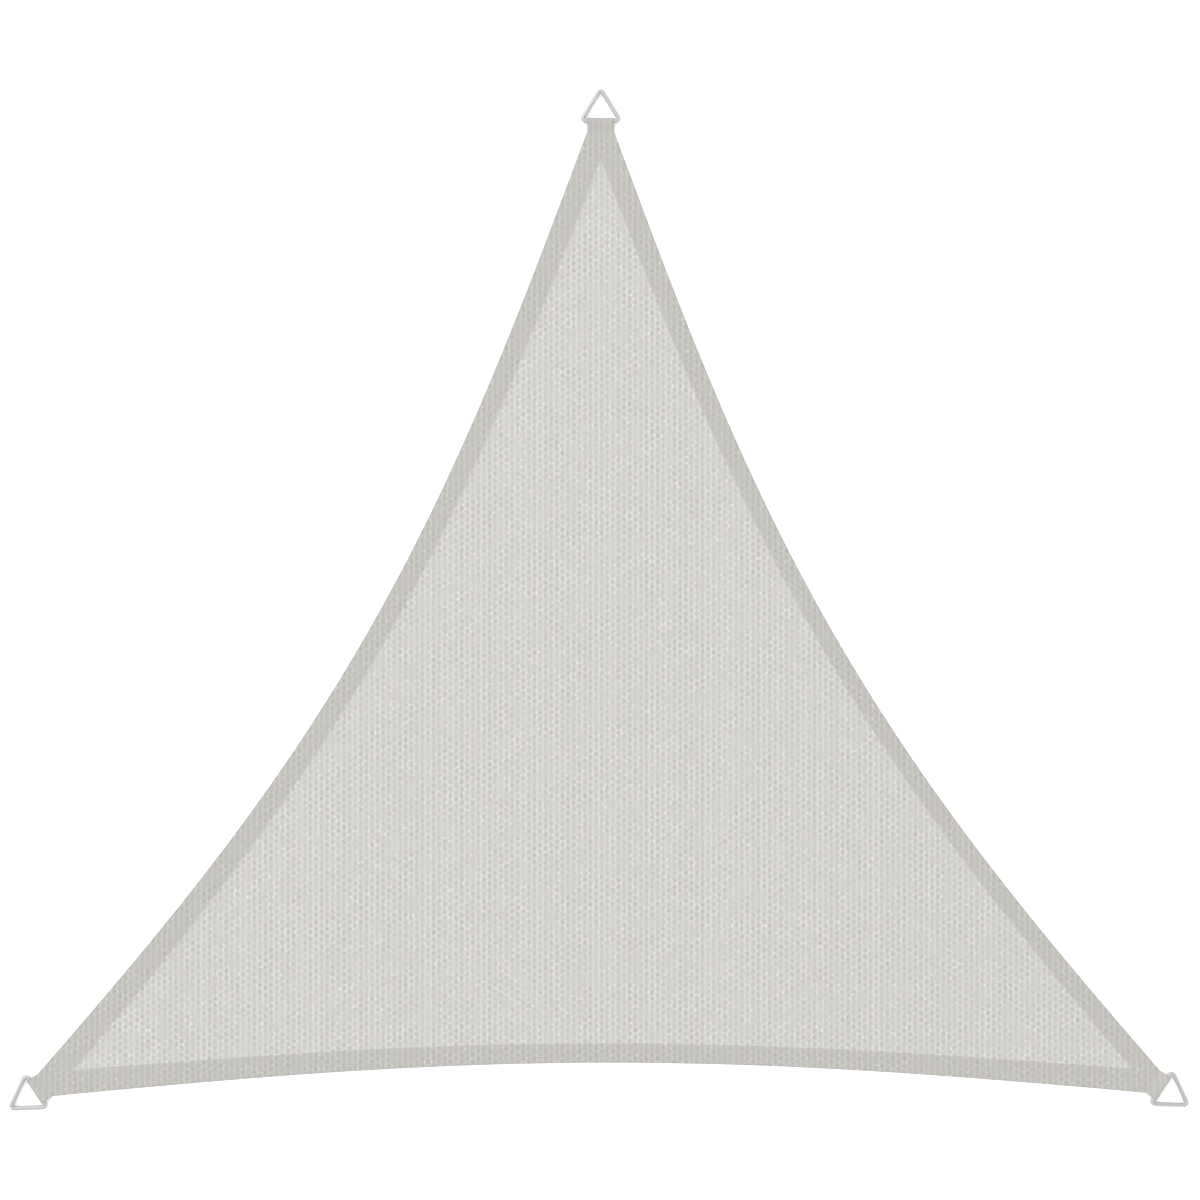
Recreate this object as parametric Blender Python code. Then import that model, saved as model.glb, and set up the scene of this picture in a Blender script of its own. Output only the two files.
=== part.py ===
# Triangular shade sail of ribbed knitted cloth, laid out flat with its face up.
# Each corner of the cloth is carried over the bar of a triangular steel ring and sewn down.
# Metres, +Z up. The top corner points along +Y, and the origin is under the middle of the whole.
import math

import bmesh
import bpy
from mathutils import Vector
from mathutils.geometry import delaunay_2d_cdt

# Middle of each ring's bar, and the way the ring points, in degrees from +X.
# Two bars are 2 m apart, give or take the few millimetres of a sewn sail.
corners = {
    "top": {"x": 0.003, "y": 0.854, "heading": 90.0},
    "left": {"x": -1.003, "y": -0.876, "heading": 213.8},
    "right": {"x": 1.003, "y": -0.870, "heading": 326.4},
}

# The sides, anticlockwise from above. A side curves in by sag, leant a little towards one end,
# and its hem has one width near the start, one at the middle and one near the end.
sides = [
    {"start": "top", "end": "left", "sag": 0.1116, "lean": 0.054,
     "hemStart": 0.0400, "hemMiddle": 0.0340, "hemEnd": 0.0445},
    {"start": "left", "end": "right", "sag": 0.0563, "lean": 0.0,
     "hemStart": 0.0435, "hemMiddle": 0.0348, "hemEnd": 0.0410},
    {"start": "right", "end": "top", "sag": 0.1116, "lean": -0.048,
     "hemStart": 0.0365, "hemMiddle": 0.0305, "hemEnd": 0.0405},
]

# Cloth
clothThickness = 0.0010     # one layer of the knit, in the grooves between its ribs
hemThickness = 0.0021       # the cloth and the strip turned under it
cornerThickness = 0.0028    # where both hems and the loop's tail lie together
hemSlope = 0.0035           # width over which the hem comes down to the panel
edgeRound = 0.0005          # rounding of the folded edges
edgeShare = 0.3             # the most of the cloth's thickness that the rounding takes

# Ribs of the knit, which run along Y over panel and hems and end before the corners
ribPitch = 0.010
ribWidth = 0.0044
ribHeight = 0.0004
ribInset = 0.002            # they start this far inside the cloth's edge
ribTaper = 0.006            # and rise to their height over this length
ribReach = 0.905            # they lie no further than this to the left and right
ribFade = 0.025             # they die away over this length towards the corners
ribStart = -0.80            # on this line of Y every rib is on the cloth

# Ring of round wire, sized between the points where its centre lines would meet
wireRadius = 0.00375
ringWidth = 0.0698
ringHeight = 0.0572
ringBend = 0.0045
tipGap = 0.0001             # under the ring's free corner

# Loop round the bar, measured inward from the middle of the bar
tabHalfWidth = 0.0236
tabLength = 0.0175          # the loop's straight part, before the sides flare out
loopWall = 0.0012
loopClearance = 0.0003      # between the wire and the cloth round it
loopLength = 0.022          # the loop's two layers come together here
tunnelLength = 0.018
tunnelEndHeight = 0.0005
tailLength = 0.062          # the turned-back tail ends here
cornerZone = 2 * tailLength
loopZone = 0.040            # round the middle of the bar
tunnelRadius = wireRadius + loopClearance
loopRadius = tunnelRadius + loopWall

# Steps of the mesh
sideSteps = 48              # stations along each side, closer together towards the corners
foldAngles = (87.0, 72.0, 57.0, 42.0, 28.0, 14.0)
loopSteps = 9               # rows along the loop's straight part
tabColumns = 6              # columns across it
tunnelSteps = 12
bendSteps = 7
wireSmoothness = 6
halvings = 24               # by which a rib is followed to where it meets a hem or an edge
pointSpacing = 0.001        # points of one rib are no closer than this
weldDistance = 0.00001
keepInside = 1              # the triangulation keeps what is inside the outline
sharpAngle = math.radians(35.0)
ribSharpAngle = math.radians(5.0)

# Colours, linear
clothColour = (0.665, 0.651, 0.624, 1.0)
steelColour = (0.571, 0.571, 0.571, 1.0)
clothRoughness = 0.9
steelRoughness = 0.35


def smoothStep(t):
    t = min(max(t, 0.0), 1.0)
    return t * t * (3.0 - 2.0 * t)


# A point by its distance inward from the middle of a corner's bar and its place along the bar.
def cornerPoint(name, inward, across):
    corner = corners[name]
    heading = math.radians(corner["heading"])
    out = Vector((math.cos(heading), math.sin(heading)))
    along = Vector((-out.y, out.x))
    return Vector((corner["x"], corner["y"])) - out * inward + along * across


# The middle of a side's chord, the directions along it and into the sail, and half its length.
def chordOf(side):
    start = cornerPoint(side["start"], tabLength, tabHalfWidth)
    end = cornerPoint(side["end"], tabLength, -tabHalfWidth)
    along = (end - start).normalized()
    return (start + end) / 2, along, Vector((-along.y, along.x)), (end - start).length / 2


# How far a side lies inside its chord at u, which runs from -1 at its start to 1 at its end.
def sideBow(side, u):
    return side["sag"] * (1.0 + side["lean"] * u) * math.cos(math.pi * u / 2)


def sideSlope(side, u, halfChord):
    return -side["sag"] * math.pi / 2 * math.sin(math.pi * u / 2) / halfChord


# The point that lies inset in from a side's edge at u.
def sidePoint(side, u, inset):
    middle, along, inward, half = chordOf(side)
    normal = (inward - along * sideSlope(side, u, half)).normalized()
    return middle + along * (half * u) + inward * sideBow(side, u) + normal * inset


# How far a point lies in from a side's edge, and its u.
def insetOf(side, point):
    middle, along, inward, half = chordOf(side)
    u = (point - middle).dot(along) / half
    offset = (point - middle).dot(inward) - sideBow(side, u)
    return offset * math.cos(math.atan(sideSlope(side, u, half))), u


def hemWidth(side, u):
    u = min(max(u, -1.0), 1.0)
    change = (side["hemEnd"] - side["hemStart"]) / 2
    flare = (side["hemStart"] + side["hemEnd"]) / 2 - side["hemMiddle"]
    return side["hemMiddle"] + change * u + flare * u * u


# How far a point lies inside the nearest edge.
def edgeDepth(point):
    return min(insetOf(side, point)[0] for side in sides)


# How far a point lies inside the inner edges of all three hems. On a hem it is negative.
def panelDepth(point):
    depths = []
    for side in sides:
        inset, u = insetOf(side, point)
        depths.append(inset - hemWidth(side, u))
    return min(depths)


# Height of the cloth's face over the bar, down the loop and along its tail.
def cornerTop(inward):
    if inward < 0.0:
        return loopRadius + math.sqrt(loopRadius ** 2 - inward ** 2)
    if inward < loopLength:
        hump = 2 * loopRadius - cornerThickness
        return cornerThickness + hump * (1.0 - smoothStep(inward / loopLength))
    fall = smoothStep((inward - loopLength) / (tailLength - loopLength))
    return cornerThickness + (hemThickness - cornerThickness) * fall


def ribTop():
    return corners["top"]["y"] - tailLength


# How far the ribs rise over their grooves at a point of the plan.
def ribRise(point):
    fade = smoothStep((ribReach - abs(point.x)) / ribFade) * smoothStep((ribTop() - point.y) / ribFade)
    fromCrest = abs(point.x - ribPitch * round(point.x / ribPitch))
    profile = max(1.0 - fromCrest / (ribWidth / 2), 0.0)
    return ribHeight * profile * fade * smoothStep((edgeDepth(point) - ribInset) / ribTaper)


# Heights of the cloth's underside and face at a point of the plan.
def clothHeights(point):
    onHem = 1.0 - smoothStep(panelDepth(point) / hemSlope)
    underside = 0.0
    face = clothThickness + (hemThickness - clothThickness) * onHem + ribRise(point)
    for name in corners:
        bar = cornerPoint(name, 0.0, 0.0)
        inward = (point - bar).dot(cornerPoint(name, 1.0, 0.0) - bar)
        if (point - bar).length < cornerZone and inward < tailLength:
            face = cornerTop(inward)
            if inward < 0.0:
                underside = loopRadius - math.sqrt(loopRadius ** 2 - inward ** 2)
    return underside, face


def sideStations():
    return [math.sin(math.pi / 2 * (2 * k / sideSteps - 1)) for k in range(sideSteps + 1)]


# Rows across the loop, from its fold outside the bar to the end of its straight part.
def loopRows():
    fold = [-loopRadius * math.sin(math.radians(angle)) for angle in foldAngles]
    return fold + [tabLength * (k + 0.5) / loopSteps for k in range(loopSteps)]


def columns(halfWidth):
    return [halfWidth * (2 * k / tabColumns - 1) for k in range(tabColumns + 1)]


# The outline of the cloth: each side, then the loop at its end.
def clothOutline():
    outline = []
    rows = loopRows()
    for side in sides:
        outline += [sidePoint(side, u, 0.0) for u in sideStations()]
        outline += [cornerPoint(side["end"], row, -tabHalfWidth) for row in reversed(rows)]
        outline += [cornerPoint(side["end"], rows[0], across) for across in columns(tabHalfWidth)[1:-1]]
        outline += [cornerPoint(side["end"], row, tabHalfWidth) for row in rows]
    return outline


# Where the rounding of each side's edge ends, as one line a side.
def roundingLines():
    return [[sidePoint(side, u, edgeRound) for u in sideStations()[1:-1]] for side in sides]


# The last point, on the way from one inside to one outside, at which a measure is positive.
def lastInside(measure, inside, outside):
    for _ in range(halvings):
        middle = (inside + outside) / 2
        if measure(middle) > 0.0:
            inside = middle
        else:
            outside = middle
    return inside


# How far inside the line a point is at which ribs end, at which they have their full height,
# at which a hem's slope starts and at which it ends.
def ribDepths(point):
    fromEdge = edgeDepth(point) - ribInset
    fromHem = panelDepth(point)
    return {"end": fromEdge, "height": fromEdge - ribTaper, "hem": fromHem, "panel": fromHem - hemSlope}


# The points of a rib's crest or foot at x, from below to above, each with what it marks.
def ribPoints(x):
    start = Vector((x, ribStart))
    limits = {"lower": Vector((x, -1.0)), "upper": Vector((x, ribTop()))}
    ends = [lastInside(lambda point: ribDepths(point)["end"], start, limit) for limit in limits.values()]
    middle = (ends[0] + ends[1]) / 2
    points = []
    if ends[1].y > ribTop() - ribFade:
        points.append(("fade", Vector((x, ribTop() - ribFade))))
    for place, limit in limits.items():
        for mark, depth in ribDepths(middle).items():
            if depth > 0.0:
                point = lastInside(lambda point: ribDepths(point)[mark], middle, limit)
                points.append((place + mark, point))
    kept = []
    for mark, point in sorted(points, key=lambda item: item[1].y):
        if not kept or point.y - kept[-1][1].y > pointSpacing:
            kept.append((mark, point))
    return kept


# Each rib has a crest and a foot on either side of it.
def ribLines():
    count = math.floor(ribReach / ribPitch)
    lines = []
    for k in range(-count, count + 1):
        lines += [ribPoints(k * ribPitch + offset) for offset in (-ribWidth / 2, 0.0, ribWidth / 2)]
    return lines


# Where the line through the first two points meets the line through the other two.
def crossing(start, end, otherStart, otherEnd):
    along = end - start
    otherAlong = otherEnd - otherStart
    return start + along * ((otherStart - start).cross(otherAlong) / along.cross(otherAlong))


# The ribs' points, numbered from first, and the edges between them: along each line,
# and from each line to the next between points that mark the same. Beyond the first line and
# the last are the panel's two lower corners.
def ribNet(first):
    points = []
    edges = []
    lines = []
    for line in ribLines():
        numbers = {}
        for mark, point in line:
            numbers[mark] = first + len(points)
            points.append(point)
        along = list(numbers.values())
        edges += list(zip(along[:-1], along[1:]))
        if lines:
            shared = [mark for mark in numbers if mark in lines[-1] and mark != "fade"]
            edges += [(lines[-1][mark], numbers[mark]) for mark in shared]
        lines.append(numbers)
    for outer, inner in ((lines[0], lines[2]), (lines[-1], lines[-3])):
        for mark in ("hem", "panel"):
            ends = [numbers[place + mark] for place in ("lower", "upper") for numbers in (inner, outer)]
            edges += [(first + len(points), ends[1]), (first + len(points), ends[3])]
            points.append(crossing(*[points[end - first] for end in ends]))
    return points, edges


# Rows across each loop, on to where its layers have come together and to the tail's end.
def loopPoints():
    points = []
    for name in corners:
        for row in loopRows()[1:]:
            points += [cornerPoint(name, row, across) for across in columns(tabHalfWidth - edgeRound)]
        for row in (tabLength, (tabLength + loopLength) / 2, loopLength, (loopLength + tailLength) / 2,
                    tailLength):
            points += [cornerPoint(name, row, across) for across in columns(tabHalfWidth)[1:-1]]
    return points


# The cloth is one solid: its plan is filled with triangles that keep to the ribs and to the
# rounding of the edges, then raised and given its heights.
def makeCloth(parent, collection):
    outline = clothOutline()
    points = outline + loopPoints()
    edges = []
    for line in roundingLines():
        edges += [(len(points) + k, len(points) + k + 1) for k in range(len(line) - 1)]
        points += line
    ribs, ribEdges = ribNet(len(points))
    points += ribs
    edges += ribEdges
    filled = delaunay_2d_cdt(points, edges, [list(range(len(outline)))], keepInside, weldDistance)
    cloth = bmesh.new()
    for point in filled[0]:
        cloth.verts.new((point.x, point.y, 0.0))
    cloth.verts.ensure_lookup_table()
    for triangle in filled[2]:
        cloth.faces.new([cloth.verts[k] for k in triangle])
    onOutline = cloth.verts.layers.int.new("onOutline")
    for vert in cloth.verts:
        vert[onOutline] = vert.is_boundary
    raised = bmesh.ops.extrude_face_region(cloth, geom=cloth.faces[:])["geom"]
    onFace = {item for item in raised if isinstance(item, bmesh.types.BMVert)}
    for vert in cloth.verts:
        underside, face = clothHeights(vert.co.xy)
        rounding = min(edgeRound, edgeShare * (face - underside)) * vert[onOutline]
        vert.co.z = face - rounding if vert in onFace else underside + rounding
    bmesh.ops.recalc_face_normals(cloth, faces=cloth.faces[:])
    mesh = bpy.data.meshes.new("sail_cloth")
    cloth.to_mesh(mesh)
    cloth.free()
    mesh.shade_smooth()
    mesh.set_sharp_from_angle(angle=ribSharpAngle)
    softenLoops(mesh)
    mesh.materials.append(makeMaterial("knitted_cloth", clothColour, clothRoughness, 0.0))
    return addObject("sail_cloth", mesh, parent, collection)


# The rounded loops are smooth where the ribs are crisp.
def softenLoops(mesh):
    creases = mesh.attributes["sharp_edge"].data
    shape = bmesh.new()
    shape.from_mesh(mesh)
    for edge in shape.edges:
        middle = (edge.verts[0].co.xy + edge.verts[1].co.xy) / 2
        fromBar = min((middle - cornerPoint(name, 0.0, 0.0)).length for name in corners)
        if fromBar < loopZone and edge.calc_face_angle() < sharpAngle:
            creases[edge.index].value = False
    shape.free()


# The space round the bar inside a loop, narrowing to where the loop's layers come together.
def makeTunnel(name, parent, collection):
    profile = []
    for k in range(tunnelSteps + 1):
        angle = -math.pi / 2 - math.pi * k / tunnelSteps
        profile.append((tunnelRadius * math.cos(angle), loopRadius + tunnelRadius * math.sin(angle)))
    for k in range(1, tunnelSteps + 1):
        closing = 1.0 - smoothStep(k / tunnelSteps)
        height = tunnelEndHeight + (2 * tunnelRadius - tunnelEndHeight) * closing
        profile.append((tunnelLength * k / tunnelSteps, loopWall + height))
    profile.append((tunnelLength, loopWall))
    outline = makeCurve("tunnel_" + name, [Vector((x, y, 0.0)) for x, y in profile], "2D")
    outline.fill_mode = "BOTH"
    outline.extrude = tabHalfWidth + loopRadius
    tunnel = addObject("tunnel_" + name, outline, parent, collection)
    tunnel.location = (corners[name]["x"], corners[name]["y"], 0.0)
    tunnel.rotation_euler = (math.pi / 2, 0.0, math.radians(corners[name]["heading"]) + math.pi)
    return curveToMesh(tunnel, collection)


# The curve's object gives way to a welded mesh in the same place, which can cut.
def curveToMesh(curveObject, collection):
    bpy.context.view_layer.update()
    evaluated = curveObject.evaluated_get(bpy.context.evaluated_depsgraph_get())
    mesh = bpy.data.meshes.new_from_object(evaluated)
    shape = bmesh.new()
    shape.from_mesh(mesh)
    bmesh.ops.remove_doubles(shape, verts=shape.verts[:], dist=weldDistance)
    bmesh.ops.recalc_face_normals(shape, faces=shape.faces[:])
    shape.to_mesh(mesh)
    shape.free()
    name, place = curveObject.name, curveObject.matrix_world.copy()
    parent = curveObject.parent
    bpy.data.objects.remove(curveObject)
    solid = addObject(name, mesh, parent, collection)
    solid.matrix_world = place
    solid.hide_render = True
    solid.display_type = "WIRE"
    return solid


def cutTunnel(cloth, tunnel):
    cut = cloth.modifiers.new(tunnel.name, "BOOLEAN")
    cut.operation = "DIFFERENCE"
    cut.solver = "EXACT"
    cut.object = tunnel


def makeCurve(name, points, dimensions):
    curve = bpy.data.curves.new(name, "CURVE")
    curve.dimensions = dimensions
    spline = curve.splines.new("POLY")
    spline.points.add(len(points) - 1)
    for target, point in zip(spline.points, points):
        target.co = (point.x, point.y, point.z, 1.0)
    spline.use_cyclic_u = True
    spline.use_smooth = True
    return curve


# One bend of the wire, as points on an arc.
def bendPoints(before, corner, after):
    toBefore = (before - corner).normalized()
    toAfter = (after - corner).normalized()
    halfAngle = toBefore.angle(toAfter) / 2
    centre = corner + (toBefore + toAfter).normalized() * (ringBend / math.sin(halfAngle))
    first = corner + toBefore * (ringBend / math.tan(halfAngle)) - centre
    last = corner + toAfter * (ringBend / math.tan(halfAngle)) - centre
    return [centre + ringBend * first.slerp(last, k / (bendSteps - 1)) for k in range(bendSteps)]


# A ring lies with its bar in the loop, and its free corner tips down to the ground.
def makeRing(name, material, parent, collection):
    bends = [Vector((0.0, -ringWidth / 2, 0.0)), Vector((ringHeight, 0.0, 0.0)),
             Vector((0.0, ringWidth / 2, 0.0))]
    points = []
    for k, bend in enumerate(bends):
        points += bendPoints(bends[k - 1], bend, bends[(k + 1) % len(bends)])
    wire = makeCurve("ring_" + name, points, "3D")
    wire.bevel_depth = wireRadius
    wire.bevel_resolution = wireSmoothness
    wire.materials.append(material)
    ring = addObject("ring_" + name, wire, parent, collection)
    reach = max(point.x for point in points)
    tip = math.asin((loopRadius - wireRadius - tipGap) / reach)
    ring.location = (corners[name]["x"], corners[name]["y"], loopRadius)
    ring.rotation_euler = (0.0, tip, math.radians(corners[name]["heading"]))
    return ring


def makeMaterial(name, colour, roughness, metallic):
    material = bpy.data.materials.new(name)
    material.use_nodes = True
    shader = material.node_tree.nodes["Principled BSDF"]
    shader.inputs["Base Color"].default_value = colour
    shader.inputs["Roughness"].default_value = roughness
    shader.inputs["Metallic"].default_value = metallic
    material.diffuse_color = colour
    return material


def addObject(name, data, parent, collection):
    item = bpy.data.objects.new(name, data)
    item.parent = parent
    collection.objects.link(item)
    return item


def addCollection(name):
    collection = bpy.data.collections.new(name)
    bpy.context.scene.collection.children.link(collection)
    return collection


# The whole is moved so that the origin is under the middle of its bounding box.
def centreOnOrigin(root, pieces):
    bpy.context.view_layer.update()
    depsgraph = bpy.context.evaluated_depsgraph_get()
    places = []
    for piece in pieces:
        evaluated = piece.evaluated_get(depsgraph)
        mesh = evaluated.to_mesh()
        places += [evaluated.matrix_world @ vert.co for vert in mesh.vertices]
        evaluated.to_mesh_clear()
    for axis in range(2):
        ends = [place[axis] for place in places]
        root.location[axis] = -(min(ends) + max(ends)) / 2


def main():
    for item in list(bpy.data.objects):
        bpy.data.objects.remove(item)
    sail = addCollection("shade_sail")
    cutters = addCollection("cutters")
    root = addObject("shade_sail_root", None, None, sail)
    cloth = makeCloth(root, sail)
    steel = makeMaterial("ring_steel", steelColour, steelRoughness, 1.0)
    rings = []
    for name in corners:
        cutTunnel(cloth, makeTunnel(name, root, cutters))
        rings.append(makeRing(name, steel, root, sail))
    centreOnOrigin(root, [cloth] + rings)


main()
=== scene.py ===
import math

import bmesh
import bpy
import numpy as np
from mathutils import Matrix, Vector
from mathutils.geometry import delaunay_2d_cdt


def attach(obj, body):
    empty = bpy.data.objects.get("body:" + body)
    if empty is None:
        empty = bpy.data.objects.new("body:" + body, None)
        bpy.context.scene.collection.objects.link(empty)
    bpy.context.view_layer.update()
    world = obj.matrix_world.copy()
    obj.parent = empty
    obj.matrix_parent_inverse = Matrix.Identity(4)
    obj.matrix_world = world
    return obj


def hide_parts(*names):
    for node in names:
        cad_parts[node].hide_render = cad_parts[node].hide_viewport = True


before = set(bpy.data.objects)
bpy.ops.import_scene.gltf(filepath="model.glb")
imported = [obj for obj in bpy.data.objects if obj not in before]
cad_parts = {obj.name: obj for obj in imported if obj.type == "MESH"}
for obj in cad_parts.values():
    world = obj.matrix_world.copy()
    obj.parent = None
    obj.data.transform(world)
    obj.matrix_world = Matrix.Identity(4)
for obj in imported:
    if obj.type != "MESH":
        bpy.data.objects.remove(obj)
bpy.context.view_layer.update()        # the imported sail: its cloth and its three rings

bpy.context.scene.view_settings.view_transform = "Standard"

plan = {
    # middle of each ring's bar in metres, and the way the ring points in degrees from +X
    "corners": {"top": (0.00295, 0.85423, 90.0), "left": (-1.00305, -0.87577, 213.8),
                "right": (1.00295, -0.86977, 326.4)},
    # the sides anticlockwise: how far each curves in, how far that leans to one end,
    # and the width of its hem at the start, the middle and the end
    "sides": (("top", "left", 0.1116, 0.054, (0.0400, 0.0340, 0.0445)),
              ("left", "right", 0.0563, 0.0, (0.0435, 0.0348, 0.0410)),
              ("right", "top", 0.1116, -0.048, (0.0365, 0.0305, 0.0405))),
    "tabHalfWidth": 0.0236,
    "tabLength": 0.0175,       # the loop's straight part, inward from the bar
    "loopLength": 0.022,       # its two layers come together here
    "tailLength": 0.062,       # its turned-back tail ends here
    "loopRadius": 0.00525,     # outside of the cloth round the bar
}

cloth = {
    "layer": 0.0010,           # thickness in the grooves of one layer
    "hem": 0.0021,
    "corner": 0.0028,
    "hemSlope": 0.0035,        # width over which the hem comes down to the panel
    "crease": 38,              # edges that turn by more degrees stay sharp
    "edgeRound": 0.00085,      # rounding of the folded edges
    "rimShade": 0.0022,             # width of their rim of painted shade
    "ribPitch": 0.010,
    "ribHeight": 0.00040,
    "ribWidth": 0.0044,
    "ribTaper": 0.006,         # ribs sink into the folded edge over this length
    "knotPitch": 0.00625,      # knots follow each other along a rib
    "knotHeight": 0.00016,
    "sway": 0.0009,            # each knot draws its rib to the other side
    "puckerHeight": 0.00022,   # of the cloth along its seams
    "puckerLength": 0.055,
    "puckerReach": 0.028,      # they fade within this distance of the seam
    "swellHeight": 0.00018,    # of the panel between them
    "swellFade": 0.06,
    "edgeFade": 0.01,          # puckers and swell end over this width beside the folded edges
    "calmLength": 0.045,       # ribs run plain on the loops, and are knotted as elsewhere from here
    "knotted": 0.73,           # how knotted ribs are, from 0 to 1
    "knotWaves": (0.0083, 0.0151, 0.037),   # how knots come and go along a rib
    "wavePhase": 6.3,          # radians by which chance shifts a wave at most
    "waveShare": 0.27,
    "ribShare": 0.35,          # how much more knotted some ribs are than others
    "straight": 0.003,         # ribs run straight this near to seams and edges
    "straightFade": 0.006,
    "ribStart": 0.001,
}

loop = {
    "wire": 0.00375,           # radius of the ring's wire
    "clearance": 0.0003,
    "wall": 0.0012,
    "tunnelLength": 0.018,
    "tunnelEnd": 0.0005,
    "foldAngles": (88.5, 82, 75, 68, 60, 52, 44, 36, 28, 20, 12, 5),
    "rowStep": 0.0016,
    "columns": 30,
    "boreSteps": 25,
    "closingSteps": 13,
    "foldShade": (0.5, 0.35, 1.3),   # where the darker fold starts, its width and its strength
}

# Rows and spacings of the points that the cloth's faces are drawn between.
netSize = {
    "reach": 1.02,             # ribs are drawn this far to either side of the middle
    "knotRows": (-0.90, 0.86),
    "closeRows": 0.006,        # length beside each loop with closer rows
    "rowClear": 0.0009,        # lattice points nearer to a row than this are left out
    "loopClear": 0.0012,
    "hemShares": (0.0, 0.3, 0.7, 1.0),   # rows on the hem's slope
    "cornerClear": 0.0005,
    "samples": 4001,           # along a side, to find where lines cross it
    "parting": (-0.775, 0.74, 30),       # the row down the middle of the underside
    "edgeTurns": (30, 60, 90),
    "edgeShare": 0.44,         # of a thin edge's thickness that is rounded
}


def smoothStep(t):
    t = np.clip(t, 0.0, 1.0)
    return t * t * (3.0 - 2.0 * t)


def axesOf(name):
    x, y, heading = plan["corners"][name]
    turn = math.radians(heading)
    out = np.array((math.cos(turn), math.sin(turn)))
    return np.array((x, y)), out, np.array((-out[1], out[0]))


# A place by its distance inward from a corner's bar and its place along the bar.
def cornerPlace(name, inward, across):
    bar, out, along = axesOf(name)
    return bar - np.multiply.outer(inward, out) + np.multiply.outer(across, along)


def fromCorner(name, places):
    bar, out, along = axesOf(name)
    return (bar - places) @ out, (places - bar) @ along


class Side:
    def __init__(self, start, end, sag, lean, hem):
        self.start, self.end, self.sag, self.lean, self.hem = start, end, sag, lean, hem
        first = cornerPlace(start, plan["tabLength"], plan["tabHalfWidth"])
        last = cornerPlace(end, plan["tabLength"], -plan["tabHalfWidth"])
        self.middle = (first + last) / 2
        self.half = np.linalg.norm(last - first) / 2
        self.along = (last - first) / (2 * self.half)
        self.inward = np.array((-self.along[1], self.along[0]))

    def bow(self, u):
        return self.sag * (1 + self.lean * u) * np.cos(math.pi * u / 2)

    def slope(self, u):
        return -self.sag * math.pi / 2 * np.sin(math.pi * u / 2) / self.half

    # Places that lie inset in from the edge, at u from -1 at the start to 1 at the end.
    def place(self, u, inset):
        u = np.asarray(u, float)
        normal = self.inward - np.multiply.outer(self.slope(u), self.along)
        normal /= np.linalg.norm(normal, axis=-1, keepdims=True)
        line = self.middle + np.multiply.outer(u * self.half, self.along)
        return line + np.multiply.outer(self.bow(u), self.inward) + normal * np.reshape(inset, (-1, 1))

    def inset(self, places):
        u = (places - self.middle) @ self.along / self.half
        offset = (places - self.middle) @ self.inward - self.bow(u)
        return offset * np.cos(np.arctan(self.slope(u))), u

    def hemWidth(self, u):
        start, middle, end = self.hem
        u = np.clip(u, -1, 1)
        return middle + (end - start) / 2 * u + ((start + end) / 2 - middle) * u * u

    # u at which the line inset by the hem's width and more crosses each x.
    def crossing(self, x, extra=None):
        u = np.linspace(-1.0, 1.0, netSize["samples"])
        inset = np.zeros(len(u)) if extra is None else self.hemWidth(u) + extra
        line = self.place(u, inset)[:, 0]
        order = np.argsort(line)
        found = np.interp(x, line[order], u[order])
        return found[(x > line.min()) & (x < line.max())]


sides = [Side(*values) for values in plan["sides"]]


# How far places lie in from the sides, and from the loops' edges beside the bars.
def edgeDepth(places):
    depth = np.min([side.inset(places)[0] for side in sides], axis=0)
    for name in plan["corners"]:
        inward, across = fromCorner(name, places)
        onTab = (inward < plan["tabLength"]) & (np.abs(across) < 2 * plan["tabHalfWidth"])
        depth = np.where(onTab, plan["tabHalfWidth"] - np.abs(across), depth)
    return depth


# How far places lie inside the hems' inner edges, below nothing on a hem.
def panelDepth(places):
    depths = []
    for side in sides:
        inset, u = side.inset(places)
        depths.append(inset - side.hemWidth(u))
    return np.min(depths, axis=0)


# One chance number from 0 to 1 for each pair of whole numbers.
def chance(first, second):
    mixed = np.sin(first * 127.1 + second * 311.7) * 43758.5453
    return mixed - np.floor(mixed)


def ribOf(places):
    return np.round(places[:, 0] / cloth["ribPitch"])


# How knotted each rib is at places along it: knots come and go, the slowest wave is shared by
# two ribs, and all ribs run plain on the loops.
def busyness(places):
    rib = ribOf(places)
    wave = np.zeros(len(places))
    for number, length in enumerate(cloth["knotWaves"], 1):
        strand = np.floor(rib / 2) if number == 3 else rib
        wave += np.sin(places[:, 1] / length + cloth["wavePhase"] * chance(strand, number))
    own = cloth["ribShare"] * (chance(rib, 4) - 0.5)
    busy = smoothStep(cloth["knotted"] + cloth["waveShare"] * wave + own)
    for name in plan["corners"]:
        inward, across = fromCorner(name, places)
        away = np.hypot(np.maximum(inward, 0), np.maximum(np.abs(across) - plan["tabHalfWidth"], 0))
        busy = busy * smoothStep(away / cloth["calmLength"])
    return busy


# How far knots draw the ribs sideways, fading out towards the seams and the edges.
def ribSway(places):
    turns = np.cos(math.pi * (places[:, 1] / cloth["knotPitch"] + ribOf(places)))
    seam = np.abs(panelDepth(places) - cloth["hemSlope"] / 2)
    bySeam, byEdge = [smoothStep((away - cloth["straight"]) / cloth["straightFade"])
                      for away in (seam, edgeDepth(places))]
    return cloth["sway"] * turns * busyness(places) * (bySeam * byEdge)


# Ribs along Y with knots on them, sinking into the folded edges.
def ribRelief(places):
    rib = ribOf(places)
    off = places[:, 0] - rib * cloth["ribPitch"] - ribSway(places)
    profile = np.clip(1 - np.abs(off) / (cloth["ribWidth"] / 2), 0, 1)
    knot = np.round(places[:, 1] / cloth["knotPitch"])
    relief = cloth["ribHeight"] + cloth["knotHeight"] * (busyness(places) * chance(rib, knot + 10) - 0.3)
    return relief * profile * smoothStep((edgeDepth(places) - cloth["ribStart"]) / cloth["ribTaper"])


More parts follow.
